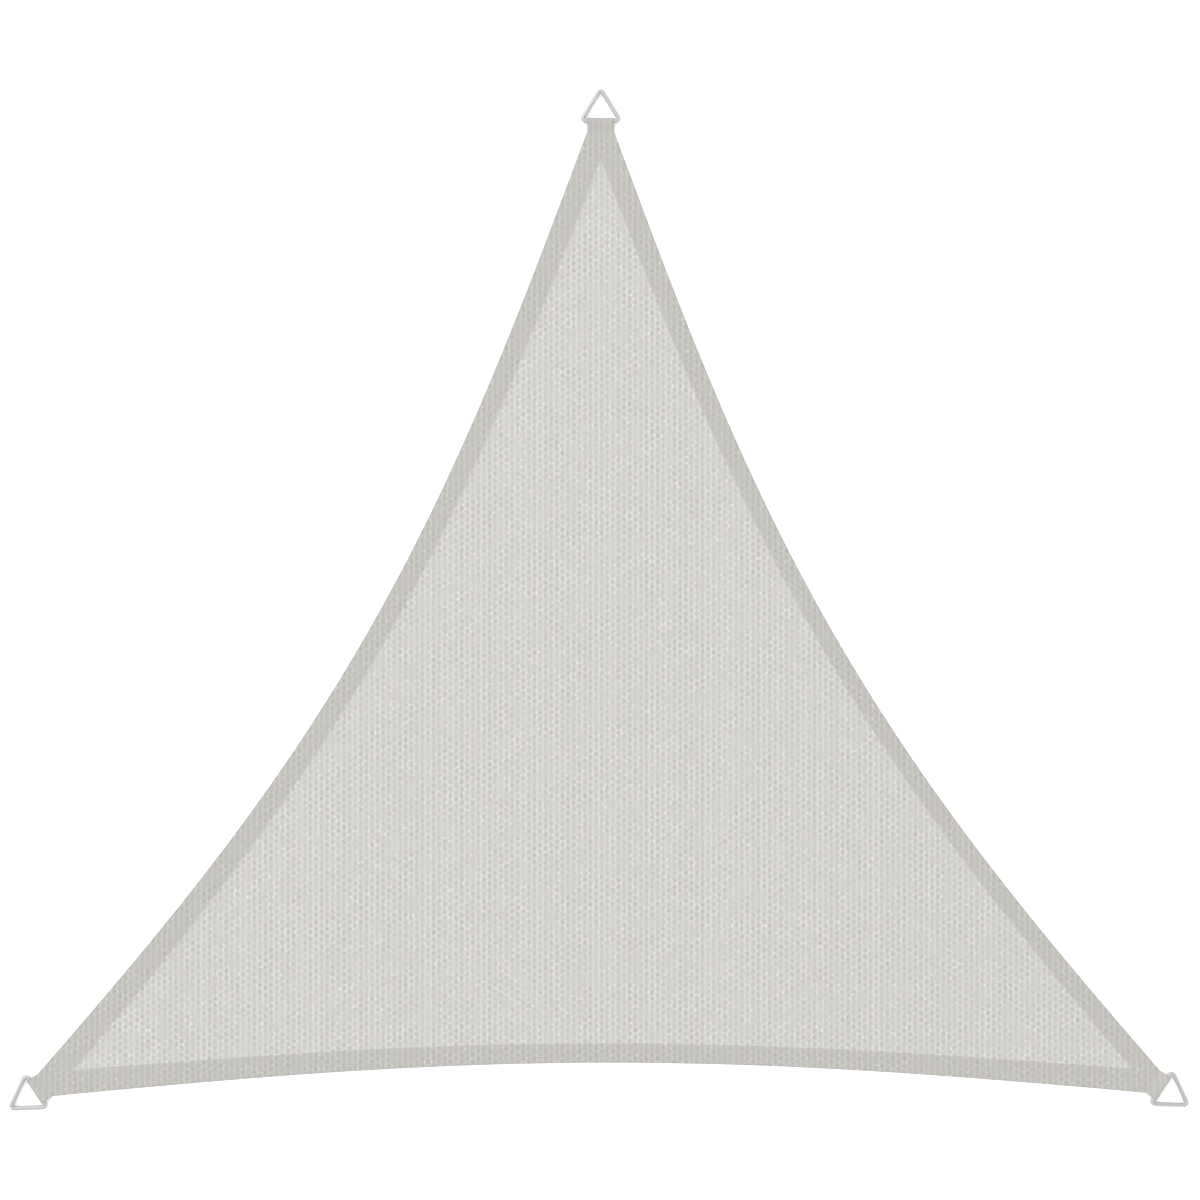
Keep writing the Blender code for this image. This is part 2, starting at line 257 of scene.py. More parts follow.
# Shallow puckers that a seam draws up on either side of it, and the panel's own slow swell. The
# numbers in the waves only keep them from repeating.
def unevenness(places):
    height = np.zeros(len(places))
    depth = np.maximum(edgeDepth(places), 0)
    for number, side in enumerate(sides):
        inset, u = side.inset(places)
        travel = u * side.half / cloth["puckerLength"]
        wave = np.sin(2 * math.pi * (travel + 0.35 * np.sin(5.1 * travel / 2 + number)))
        wave *= 0.6 + 0.4 * np.sin(1.7 * travel + 2.0 * number)
        fromSeam = np.abs(inset - side.hemWidth(u)) / cloth["puckerReach"]
        height += cloth["puckerHeight"] * (0.5 + 0.5 * wave) * np.exp(-fromSeam ** 2)
    x, y = places[:, 0], places[:, 1]
    swell = np.sin(9.1 * x + 4.0 * y + 0.6) * np.sin(6.3 * y - 3.7 * x) + 0.6 * np.sin(17 * x - 11 * y)
    fade = smoothStep(panelDepth(places) / cloth["swellFade"])
    height += cloth["swellHeight"] * (0.6 + 0.5 * swell) * fade
    return height * smoothStep(depth / cloth["edgeFade"])


def cornerTop(inward):
    radius = plan["loopRadius"]
    over = radius + np.sqrt(np.maximum(radius ** 2 - inward ** 2, 0))
    hump = cloth["corner"] + (2 * radius - cloth["corner"]) * (1 - smoothStep(inward / plan["loopLength"]))
    fall = smoothStep((inward - plan["loopLength"]) / (plan["tailLength"] - plan["loopLength"]))
    tail = cloth["corner"] + (cloth["hem"] - cloth["corner"]) * fall
    return np.where(inward < 0, over, np.where(inward < plan["loopLength"], hump, tail))


# Heights of the underside and the face, before the edges are rounded.
def clothHeights(places):
    onHem = 1 - smoothStep(panelDepth(places) / cloth["hemSlope"])
    face = cloth["layer"] + (cloth["hem"] - cloth["layer"]) * onHem
    under = np.zeros(len(places))
    for name in plan["corners"]:
        inward, across = fromCorner(name, places)
        near = (np.hypot(inward, across) < 2 * plan["tailLength"]) & (inward < plan["tailLength"])
        face = np.where(near, cornerTop(inward), face)
        radius = plan["loopRadius"]
        fold = radius - np.sqrt(np.maximum(radius ** 2 - inward ** 2, 0))
        under = np.where(near & (inward < 0), fold, under)
    return under, face + ribRelief(places) + unevenness(places)


roundInsets = [cloth["edgeRound"] * (1 - math.cos(math.radians(turn))) for turn in netSize["edgeTurns"]]
edgeRows = roundInsets + [cloth["rimShade"]]


def ribLines():
    count = math.floor(netSize["reach"] / cloth["ribPitch"])
    ribs = np.arange(-count, count + 1) * cloth["ribPitch"]
    offsets = np.array((-cloth["ribWidth"] / 2, 0.0, cloth["ribWidth"] / 2))
    return (ribs[:, None] + offsets).ravel()


# Where the ribs' lines cross a side, and closer stations beside the loops.
def stations(side):
    crossings = side.crossing(ribLines())
    step = loop["rowStep"] / side.half
    count = round(netSize["closeRows"] / loop["rowStep"])
    ends = -1 + step * np.arange(count + 1)
    inner = crossings[(crossings > ends[-1] + step / 2) & (crossings < -ends[-1] - step / 2)]
    return np.sort(np.concatenate((ends, inner, -ends)))


def loopRows():
    fold = [-plan["loopRadius"] * math.sin(math.radians(angle)) for angle in loop["foldAngles"]]
    count = round(plan["tabLength"] / loop["rowStep"])
    return np.array(fold + [plan["tabLength"] * (k + 0.5) / count for k in range(count)])


class Net:
    def __init__(self):
        self.places, self.edges, self.count = [], [], 0

    # Adds places, tied in a row if asked, and returns their numbers.
    def add(self, places, tied=False):
        places = np.reshape(places, (-1, 2))
        numbers = np.arange(self.count, self.count + len(places))
        self.places.append(places)
        self.count += len(places)
        if tied:
            self.edges += list(zip(numbers[:-1].tolist(), numbers[1:].tolist()))
        return numbers

    def fill(self, outlineCount):
        places = np.concatenate(self.places)
        outline = [list(range(outlineCount))]
        points, _, faces, origins, _, _ = delaunay_2d_cdt(
            [Vector(place) for place in places.tolist()], self.edges, outline, 1, 1e-6)
        places = np.array([point[:] for point in points])
        ring = np.full(outlineCount, -1)
        for number, origin in enumerate(origins):
            for k in origin:
                if k < outlineCount:
                    ring[k] = number
        return places, faces, ring


# The outline: each side, then the loop at its end. Rows of the rounded edge follow it.
def addOutline(net):
    rows = loopRows()
    half = plan["tabHalfWidth"]
    across = np.linspace(-half, half, loop["columns"] + 1)[1:-1]
    for side in sides:
        net.add(side.place(stations(side), 0.0))
        net.add(cornerPlace(side.end, rows[::-1], np.full(len(rows), -half)))
        net.add(cornerPlace(side.end, np.full(len(across), rows[0]), across))
        net.add(cornerPlace(side.end, rows, np.full(len(rows), half)))
    outlineCount = net.count
    beside = np.append(rows[1:], plan["tabLength"])
    for inset in edgeRows:
        for side in sides:
            line = [side.place(stations(side), inset)[1:-1]]
            line.append(cornerPlace(side.end, beside[::-1], np.full(len(beside), inset - half)))
            net.add(np.concatenate(line), tied=True)
            net.add(cornerPlace(side.end, beside, np.full(len(beside), half - inset)), tied=True)
    return outlineCount


# Rows across the loops, over the fold and back to where the layers have come together.
def addLoops(net, foldOnly=False):
    half = plan["tabHalfWidth"]
    across = np.linspace(-half, half, loop["columns"] + 1)[1:-1]
    rows = loopRows()[1:]
    if foldOnly:
        rows = rows[rows < 0]
    else:
        rows = np.append(rows, np.arange(plan["tabLength"], plan["loopLength"] + 0.001, loop["rowStep"]))
    for name in plan["corners"]:
        for row in rows:
            net.add(cornerPlace(name, np.full(len(across), row), across))


# Rows along the hems' inner edges, at the ribs' lines, and the panel's corners between them.
def addHems(net, shares):
    for extra in [cloth["hemSlope"] * share for share in shares]:
        lines = []
        for side in sides:
            u = np.sort(side.crossing(ribLines(), extra))
            line = side.place(u, side.hemWidth(u) + extra)
            others = [other for other in sides if other is not side]
            beyond = [other.inset(line)[0] - other.hemWidth(other.inset(line)[1]) for other in others]
            lines.append(line[np.min(beyond, axis=0) > extra + netSize["cornerClear"]])
        for number, line in enumerate(lines):
            after = lines[(number + 1) % len(lines)]
            along, otherAlong = line[-1] - line[-3], after[0] - after[2]
            gap = after[0] - line[-1]
            share = (gap[0] * otherAlong[1] - gap[1] * otherAlong[0]) / (
                along[0] * otherAlong[1] - along[1] * otherAlong[0])
            lines[number] = np.concatenate((line, [line[-1] + along * share]))
        numbers = net.add(np.concatenate(lines), tied=True)
        net.edges.append((int(numbers[-1]), int(numbers[0])))


# A lattice along the ribs, a point for each half knot, clear of the other rows.
def addLattice(net):
    y = np.arange(*netSize["knotRows"], cloth["knotPitch"])
    places = np.stack(np.meshgrid(ribLines(), y, indexing="ij"), axis=-1).reshape(-1, 2)
    clear = edgeDepth(places) > cloth["rimShade"] + netSize["rowClear"]
    for extra in (0.0, cloth["hemSlope"]):
        clear &= np.abs(panelDepth(places) - extra) > netSize["rowClear"]
    depth = panelDepth(places)
    clear &= (depth < 0) | (depth > cloth["hemSlope"])
    for name in plan["corners"]:
        inward, across = fromCorner(name, places)
        clear &= inward > plan["loopLength"] + netSize["loopClear"]
    numbers = np.full(len(places), -1)
    numbers[clear] = net.add(np.column_stack((places[:, 0] + ribSway(places), places[:, 1]))[clear])
    columns = numbers.reshape(-1, len(y))
    for column in columns.tolist():
        net.edges += [(k, after) for k, after in zip(column, column[1:]) if k >= 0 and after >= 0]


# Rounds the outline's edge over: the face comes down, and the underside up, towards it.
def rounded(places, under, face, ring):
    radius = np.minimum(cloth["edgeRound"], netSize["edgeShare"] * (face - under))
    depth = edgeDepth(places)
    for name in plan["corners"]:
        inward, across = fromCorner(name, places)
        depth = np.where((inward < 0) & (np.abs(across) < 2 * plan["tabHalfWidth"]),
                         plan["tabHalfWidth"] - np.abs(across), depth)
    depth[ring] = np.where(radius[ring] > 0, 0, depth[ring])
    left = np.clip(radius - depth, 0, radius)
    drop = radius - np.sqrt(np.maximum(radius ** 2 - left ** 2, 0))
    return under + drop, face - drop


# Joins points and faces into a piece, with its faces turned outward.
def addPiece(name, verts, polygons):
    mesh = bpy.data.meshes.new(name)
    mesh.from_pydata(np.asarray(verts).tolist(), [], polygons)
    shape = bmesh.new()
    shape.from_mesh(mesh)
    bmesh.ops.recalc_face_normals(shape, faces=shape.faces[:])
    openEdges = sum(1 for edge in shape.edges if not edge.is_manifold)
    shape.to_mesh(mesh)
    shape.free()
    piece = bpy.data.objects.new(name, mesh)
    bpy.context.scene.collection.objects.link(piece)
    print(name, "has", len(mesh.polygons), "faces and", openEdges, "open edges")
    return piece


def makeSail():
    top = Net()
    outlineCount = addOutline(top)
    addLoops(top)
    addHems(top, netSize["hemShares"])
    addLattice(top)
    places, faces, ring = top.fill(outlineCount)
    under, face = clothHeights(places)
    face = rounded(places, under, face, ring)[1]

    below = Net()
    addOutline(below)
    addLoops(below, foldOnly=True)
    addHems(below, (0.0,))
    parting = np.linspace(*netSize["parting"])
    below.add(np.column_stack((np.zeros(len(parting)), parting)), tied=True)
    lowPlaces, lowFaces, lowRing = below.fill(outlineCount)
    lowUnder, lowFace = clothHeights(lowPlaces)
    lowUnder = rounded(lowPlaces, lowUnder, lowFace, lowRing)[0]

    verts = np.concatenate((np.column_stack((places, face)), np.column_stack((lowPlaces, lowUnder))))
    base = len(places)
    polygons = [list(polygon) for polygon in faces]
    polygons += [[base + k for k in reversed(polygon)] for polygon in lowFaces]
    for k in range(outlineCount):
        after = (k + 1) % outlineCount
        polygons.append([base + int(lowRing[k]), base + int(lowRing[after]), int(ring[after]), int(ring[k])])
    return addPiece("sail_sheet", verts, polygons)


# The way through a loop for the ring's bar, which narrows to where the layers meet.
def makeTunnel(name):
    radius, closed = loop["wire"] + loop["clearance"], loop["tunnelEnd"]
    turns = np.radians(np.linspace(270, 90, loop["boreSteps"]))
    inward = radius * np.cos(turns)
    height = plan["loopRadius"] + radius * np.sin(turns)
    share = np.linspace(0, 1, loop["closingSteps"])[1:]
    inward = np.concatenate((inward, share * loop["tunnelLength"], [loop["tunnelLength"]]))
    closing = closed + (2 * radius - closed) * (1 - smoothStep(share))
    height = np.concatenate((height, loop["wall"] + closing, [loop["wall"]]))
    count = len(inward)
    verts = []
    for across in (-1, 1):
        reach = across * (plan["tabHalfWidth"] + plan["loopRadius"])
        verts.append(np.column_stack((cornerPlace(name, inward, np.full(count, reach)), height)))
    polygons = [list(range(count)), list(range(2 * count - 1, count - 1, -1))]
    polygons += [[k, (k + 1) % count, count + (k + 1) % count, count + k] for k in range(count)]
    return addPiece("tunnel_" + name, np.concatenate(verts), polygons)


def cutTunnels(sheet):
    tunnels = [makeTunnel(name) for name in plan["corners"]]
    for tunnel in tunnels:
        cut = sheet.modifiers.new(tunnel.name, "BOOLEAN")
        cut.operation = "DIFFERENCE"
        cut.solver = "EXACT"
        cut.object = tunnel
    bpy.context.view_layer.update()
    mesh = bpy.data.meshes.new_from_object(sheet.evaluated_get(bpy.context.evaluated_depsgraph_get()))
    sheet.modifiers.clear()
    sheet.data = mesh
    for tunnel in tunnels:
        bpy.data.objects.remove(tunnel)
    shape = bmesh.new()
    shape.from_mesh(mesh)
    print("cut cloth has", sum(len(face.verts) - 2 for face in shape.faces), "triangles and",
          sum(1 for edge in shape.edges if not edge.is_manifold), "open edges")
    shape.free()


def readMesh(items, title, width, kind=float):
    values = np.zeros(len(items) * width, kind)
    items.foreach_get(title, values)
    return values.reshape(-1, width) if width > 1 else values


# Marks for the cloth's material: where it is doubled, which is painted darker as shade, its folded rim
# and folds, painted darker as shade, how knotted it is, and its places with the folds round the bars
# rolled out.
def markCloth(sheet):
    mesh = sheet.data
    verts = readMesh(mesh.vertices, "co", 3)
    places = verts[:, :2].copy()
    start, width, strength = loop["foldShade"]
    rimShade = np.clip((cloth["rimShade"] - edgeDepth(places)) / (cloth["rimShade"] - cloth["edgeRound"]), 0, 1)
    for name in plan["corners"]:
        out = axesOf(name)[1]
        inward, across = fromCorner(name, verts[:, :2])
        onFold = (inward < 0) & (np.abs(across) < 2 * plan["tabHalfWidth"])
        # Painted shade on the cloth where it folds round the bar.
        fold = strength * smoothStep((-inward / plan["loopRadius"] - start) / width)
        rimShade = np.where(onFold, np.maximum(rimShade, fold), rimShade)
        turn = np.abs(np.arctan2(verts[:, 2] - plan["loopRadius"], -inward))
        rolled = plan["loopRadius"] * (math.pi / 2 - turn) + inward
        places += np.outer(np.where(onFold, rolled, 0), out)
    for title, values in (("rimShade", rimShade), ("busy", busyness(verts[:, :2]))):
        mesh.attributes.new(title, "FLOAT", "POINT").data.foreach_set("value", values)
    flat = np.column_stack((places * 1000, verts[:, 2] * 1000)).ravel()
    mesh.attributes.new("laid", "FLOAT_VECTOR", "POINT").data.foreach_set("vector", flat)
    middles = readMesh(mesh.polygons, "center", 3)
    doubledShaded = (panelDepth(middles[:, :2]) < 0).astype(float)
    mesh.attributes.new("doubledShaded", "FLOAT", "FACE").data.foreach_set("value", doubledShaded)
    mesh.shade_smooth()
    mesh.set_sharp_from_angle(angle=math.radians(cloth["crease"]))
    spreadOut(mesh, places)


picture = {
    "side": 2.16,              # metres of cloth across the picture, and up it
    "low": 0.91,               # from its lower edge to the sail's middle
    "aside": 1.05,             # by how much each half of the underside is moved past the middle
    "loops": (-0.72, 0.72),    # the first place for the insides of the loops
    "loopStep": (0.055, 0.094),
    "down": -0.2,              # faces that point down more than this are the underside's
    "level": 0.5,
    "near": 0.0003,            # faces this near to a tunnel's wall are its inside
    "below": 0.0008,           # and at least this far below the face
}


# The cloth's map for baked pictures: the face as it lies, with its edges rolled out, the underside
# in two halves turned over into the room beside it, and the insides of the loops in the gap left.
def spreadOut(mesh, rolledOut):
    verts, normals = readMesh(mesh.vertices, "co", 3), readMesh(mesh.vertices, "normal", 3)
    middles, facing = readMesh(mesh.polygons, "center", 3), readMesh(mesh.polygons, "normal", 3)
    own = readMesh(mesh.loops, "vertex_index", 1, np.int32)
    face = np.repeat(np.arange(len(middles)), readMesh(mesh.polygons, "loop_total", 1, np.int32))
    drop = np.maximum(clothHeights(verts[:, :2])[1] - verts[:, 2], 0)
    spots = (rolledOut + normals[:, :2] * drop[:, None])[own] + (0, picture["low"])

    under = facing[:, 2] < picture["down"]
    shift = np.where(middles[:, 0] < 0, picture["aside"], -picture["aside"])[face]
    turnedY = picture["side"] - picture["low"] - rolledOut[own, 1]
    spots = np.where(under[face][:, None], np.column_stack((rolledOut[own, 0] + shift, turnedY)), spots)

    level, near = picture["level"], picture["near"]
    way = np.where(facing[:, 2] > level, 0, np.where(facing[:, 2] < -level, 1, 2))
    for number, name in enumerate(plan["corners"]):
        inward, across = fromCorner(name, middles[:, :2])
        z = middles[:, 2]
        bore = np.hypot(inward, z - plan["loopRadius"]) < loop["wire"] + loop["clearance"] + near
        slot = (inward > 0) & (z > loop["wall"] - near) & (z < cornerTop(inward) - picture["below"])
        inside = (bore | slot) & (inward < loop["tunnelLength"] + near)
        inside &= (np.abs(across) < plan["tabHalfWidth"]) & (np.abs(facing[:, :2] @ axesOf(name)[2]) < level)
        inward, across = fromCorner(name, verts[:, :2])
        flat = np.column_stack((across, inward))[own]
        upright = np.column_stack((across, verts[:, 2]))[own]
        place = np.outer(number * 3 + way, picture["loopStep"]) + picture["loops"]
        laid = np.where((way == 2)[face][:, None], upright, flat) + place[face]
        spots = np.where(inside[face][:, None], laid, spots)
    spots = spots / picture["side"] + (0.5, 0)
    mesh.uv_layers.new(name="OFBake").uv.foreach_set("vector", spots.ravel())
    print("the cloth's map reaches from", spots.min(axis=0).round(3), "to", spots.max(axis=0).round(3))


# A round thread or wire along points in a plane that side is square to.
def tube(points, side, radius, count, closed=False):
    if closed:
        travel = np.roll(points, -1, axis=0) - np.roll(points, 1, axis=0)
    else:
        travel = np.gradient(points, axis=0)
    travel /= np.linalg.norm(travel, axis=1, keepdims=True)
    other = np.cross(side, travel)
    turns = np.linspace(0, 2 * math.pi, count, endpoint=False)[None, :, None]
    verts = points[:, None, :] + radius * (np.cos(turns) * other[:, None, :] + np.sin(turns) * side)
    rows = len(points)
    polygons = []
    for row in range(rows if closed else rows - 1):
        after = (row + 1) % rows
        for k in range(count):
            turn = (k + 1) % count
            polygons.append([row * count + k, row * count + turn, after * count + turn, after * count + k])
    if not closed:
        polygons += [list(range(count)), list(range((rows - 1) * count, rows * count))]
    return verts.reshape(-1, 3), polygons


sewing = {
    "threadRadius": 0.00032,
    "stitch": 0.0042,
    "gap": 0.0011,
    "hemInset": 0.003,         # from the hem's inner edge
    "cornerRows": (0.0245, 0.0295),
    "cornerInset": 0.0035,
    "sink": 0.0004,            # a stitch's ends go into the cloth
    "lift": 0.00012,
    "steps": (-1, -0.86, -0.45, 0, 0.45, 0.86, 1),
    "round": 6,
}


# Stitches as short threads, whose ends go down into the cloth.
def makeStitches(name, middles, directions):
    steps = np.array(sewing["steps"]) * (sewing["stitch"] / 2)
    low, high = -sewing["sink"], sewing["lift"]
    lifts = np.array((low, 0.0, high, high, high, 0.0, low))
    places = middles[:, None, :] + steps[None, :, None] * directions[:, None, :]
    heights = clothHeights(places.reshape(-1, 2))[1].reshape(places.shape[:2])
    verts, polygons, base = [], [], 0
    for place, height, direction in zip(places, heights, directions):
        points = np.column_stack((place, height + lifts))
        side = np.array((-direction[1], direction[0], 0.0))
        ownVerts, ownPolygons = tube(points, side, sewing["threadRadius"], sewing["round"])
        verts.append(ownVerts)
        polygons += [[base + k for k in polygon] for polygon in ownPolygons]
        base += len(ownVerts)
    return addPiece(name, np.concatenate(verts), polygons)


def sewHems():
    middles, directions = [], []
    pitch = sewing["stitch"] + sewing["gap"]
    for side in sides:
        u = np.linspace(-1.0, 1.0, netSize["samples"])
        line = side.place(u, side.hemWidth(u) - sewing["hemInset"])
        steps = np.linalg.norm(np.diff(line, axis=0), axis=1)
        travel = np.concatenate(([0.0], np.cumsum(steps)))
        depth = np.max([cornerInset(name, line) for name in plan["corners"]], axis=0)
        first, last = travel[depth < 0][[0, -1]]
        at = np.arange(first, last, pitch) + pitch / 2
        middle, ahead = [np.column_stack([np.interp(spot, travel, line[:, axis]) for axis in (0, 1)])
                         for spot in (at, at + pitch / 8)]
        direction = (ahead - middle) / np.linalg.norm(ahead - middle, axis=1, keepdims=True)
        middles.append(middle)
        directions.append(direction)
    return makeStitches("hem_stitching", np.concatenate(middles), np.concatenate(directions))


# Above nothing where places lie within a corner's loop and tail.
def cornerInset(name, places):
    inward, across = fromCorner(name, places)
    return np.where(np.hypot(inward, across) < 3 * plan["tailLength"], plan["tailLength"] - inward, -1.0)


def sewCorners():
    middles, directions = [], []
    pitch = sewing["stitch"] + sewing["gap"]
    for name in plan["corners"]:
        along = axesOf(name)[2]
        for row in sewing["cornerRows"]:
            reach = plan["tabHalfWidth"] - sewing["cornerInset"]
            count = round(2 * reach / pitch)
            across = (np.arange(count) - (count - 1) / 2) * pitch
            middles.append(cornerPlace(name, np.full(count, row), across))
            directions.append(np.tile(along, (count, 1)))
    return makeStitches("corner_stitching", np.concatenate(middles), np.concatenate(directions))


ringSize = {
    "width": 0.0698,           # of the wire's middle line, along the bar
    "height": 0.0572,
    "bend": 0.0045,            # radius of the middle line's bends
    "bendSteps": 12,
    "round": 20,
    "tipGap": 0.0001,
}


def bendPoints(before, corner, after):
    toBefore = (before - corner) / np.linalg.norm(before - corner)
    toAfter = (after - corner) / np.linalg.norm(after - corner)
    half = math.acos(toBefore @ toAfter) / 2
    middle = (toBefore + toAfter) / np.linalg.norm(toBefore + toAfter)
    centre = corner + middle * ringSize["bend"] / math.sin(half)
    turn = math.pi - 2 * half
    angles = np.linspace(-turn / 2, turn / 2, ringSize["bendSteps"])
    sideways = (toAfter - toBefore) / np.linalg.norm(toAfter - toBefore)
    return centre + ringSize["bend"] * (-np.multiply.outer(np.cos(angles), middle)
                                        + np.multiply.outer(np.sin(angles), sideways))


# A ring lies with its bar in the loop, and its free corner tips down to the floor.
def makeRing(name):
    corners = [np.array((0.0, -ringSize["width"] / 2)), np.array((ringSize["height"], 0.0)),
               np.array((0.0, ringSize["width"] / 2))]
    line = np.concatenate([bendPoints(corners[k - 1], corners[k], corners[(k + 1) % 3]) for k in range(3)])
    tip = math.asin((plan["loopRadius"] - loop["wire"] - ringSize["tipGap"]) / line[:, 0].max())
    bar, out, along = axesOf(name)
    flat = bar + np.outer(line[:, 0] * math.cos(tip), out) + np.outer(line[:, 1], along)
    points = np.column_stack((flat, plan["loopRadius"] - line[:, 0] * math.sin(tip)))
    side = np.array((*(math.sin(tip) * out), math.cos(tip)))
    verts, polygons = tube(points, side, loop["wire"], ringSize["round"], closed=True)
    ring = addPiece("wire_" + name, verts, polygons)
    ring.data.shade_smooth()
    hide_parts("ring_" + name)
    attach(ring, "root")
    return ring


# A shader's number or colour, which sums can be done with.
class Value:
    def __init__(self, shader, socket):
        self.shader, self.socket = shader, socket

    def maths(self, operation, *others):
        return self.shader.node("Math", {"operation": operation}, dict(enumerate((self,) + others)))

    def __add__(self, other):
        return self.maths("ADD", other)

    def __mul__(self, other):
        return self.maths("MULTIPLY", other)

    def __sub__(self, other):
        return self.maths("SUBTRACT", other)

    def __rsub__(self, other):
        return self * -1 + other

    def __truediv__(self, other):
        return self.maths("DIVIDE", other)

    def __abs__(self):
        return self.maths("ABSOLUTE")

    __radd__ = __add__
    __rmul__ = __mul__

    # 1 on the whole, where the value lies from 0 to 1.
    def about(self, spread):
        return self * spread + (1 - spread / 2)

    # 0 below low, 1 above high, and smooth between.
    def rise(self, low, high):
        settings = {"interpolation_type": "SMOOTHSTEP"}
        return self.shader.node("MapRange", settings, {"Value": self, "From Min": low, "From Max": high})


class Shader:
    def __init__(self, name, settings):
        self.material = bpy.data.materials.new(name)
        self.material.use_nodes = True
        self.tree = self.material.node_tree
        self.surface = self.tree.nodes["Principled BSDF"]
        for socket, value in settings.items():
            self.surface.inputs[socket].default_value = value

    # A new node of a type, with its settings made first and then its inputs set or linked.
    def node(self, kind, settings, inputs, output=0):
        node = self.tree.nodes.new("ShaderNode" + kind)
        for key, value in settings.items():
            setattr(node, key, value)
        for key, value in inputs.items():
            self.join(node.inputs[key], value)
        return Value(self, node.outputs[output])

    def join(self, socket, value):
        if isinstance(value, Value):
            self.tree.links.new(value.socket, socket)
        else:
            socket.default_value = value

    # Places on the piece along an axis, in millimetres.
    def axis(self, name):
        places = self.node("TexCoord", {}, {}, "Object")
        return self.node("SeparateXYZ", {}, {"Vector": places}, name) * 1000

    def noise(self, x, y, z, scale, detail=2):
        places = self.node("CombineXYZ", {}, {"X": x, "Y": y, "Z": z})
        return self.node("TexNoise", {}, {"Vector": places, "Scale": scale, "Detail": detail}, "Fac")

    # One chance number from 0 to 1 for each pair of whole numbers.
    def chance(self, first, second):
        places = self.node("CombineXYZ", {}, {"X": first, "Y": second})
        return self.node("TexWhiteNoise", {"noise_dimensions": "2D"}, {"Vector": places}, "Value")

    # What markCloth wrote on the mesh.
    def mark(self, name, output="Fac"):
        return self.node("Attribute", {"attribute_name": name}, {}, output)

    def blend(self, factor, first, second):
        return self.node("Mix", {"data_type": "RGBA"}, {0: factor, 6: first, 7: second}, 2)

    def times(self, colour, other):
        return self.node("VectorMath", {"operation": "MULTIPLY"}, {0: colour, 1: other})

    def scaled(self, colour, factor):
        return self.node("VectorMath", {"operation": "SCALE"}, {0: colour, "Scale": factor})

    def finish(self, **inputs):
        for name, value in inputs.items():
            self.join(self.surface.inputs[name.replace("_", " ")], value)
        return self.material


# Lengths in millimetres, and tones as shares of the cloth's colour. In the material below, the
# pairs in rise() are where a part's soft edge starts and ends, and whole numbers and parts that
# go into chance and noise only pick another pattern.
knitLook = {
    "colour": (0.615, 0.602, 0.578, 1),
    "warm": (0.630, 0.598, 0.571, 1),
    "cool": (0.594, 0.605, 0.576, 1),
    # painted shade: the doubled cloth of the hems and loops is painted darker
    "doubledShaded": (0.840, 0.838, 0.826, 1),
    "tints": (0.15, 0.45),     # share of warm and cool on the panel, and how much more on the hems
    "tintSize": (14, 45),
    "rimShade": 0.84,               # tone of the painted shade on the folded rim and the folds
    "groove": 0.952,           # tone between the ribs, partly the knit's own, partly painted shade
    "grooveSpread": 0.03,
    "gap": 0.80,               # painted shade in the small gaps of the knit there
    "loop": 3.125,             # length of a loop of the chain
    "loopSlant": 1.3,
    "chain": 0.12,             # how much darker a loop's end is
    "wander": 8.0,             # how far knots stray along their rib
    "wanderLength": 14,
    "lean": (0.6, 0.7),        # the least pull of a knot on its rib, and how much more it can be
    "rib": 1.073,
    "ribSpread": 0.02,
    "ribHalf": 2.7,
    "calm": 0.65,              # share of the ribs' contrast that is left where they run plain
    "hemCalm": 0.3,            # by how much the hems are less knotted
    "shadedPit": 0.82,               # painted shade where two ribs lean apart
    "pitHalf": 3.0,
    "bridge": 1.13,            # where they lean together
    "bridgeHalf": 3.4,
    "dot": 1.35,               # painted light on a knot
    "dotHalf": 1.45,
    "dotOff": 1.4,             # from its rib's line
    "yarns": 0.22,             # spread of fine tones
    "yarnSize": (0.9, 3.2),
    "mottle": 0.38,
    "mottleSize": (1.9, 4.5),
    "roughness": 0.8,
    "bump": 0.0003,            # in metres
}


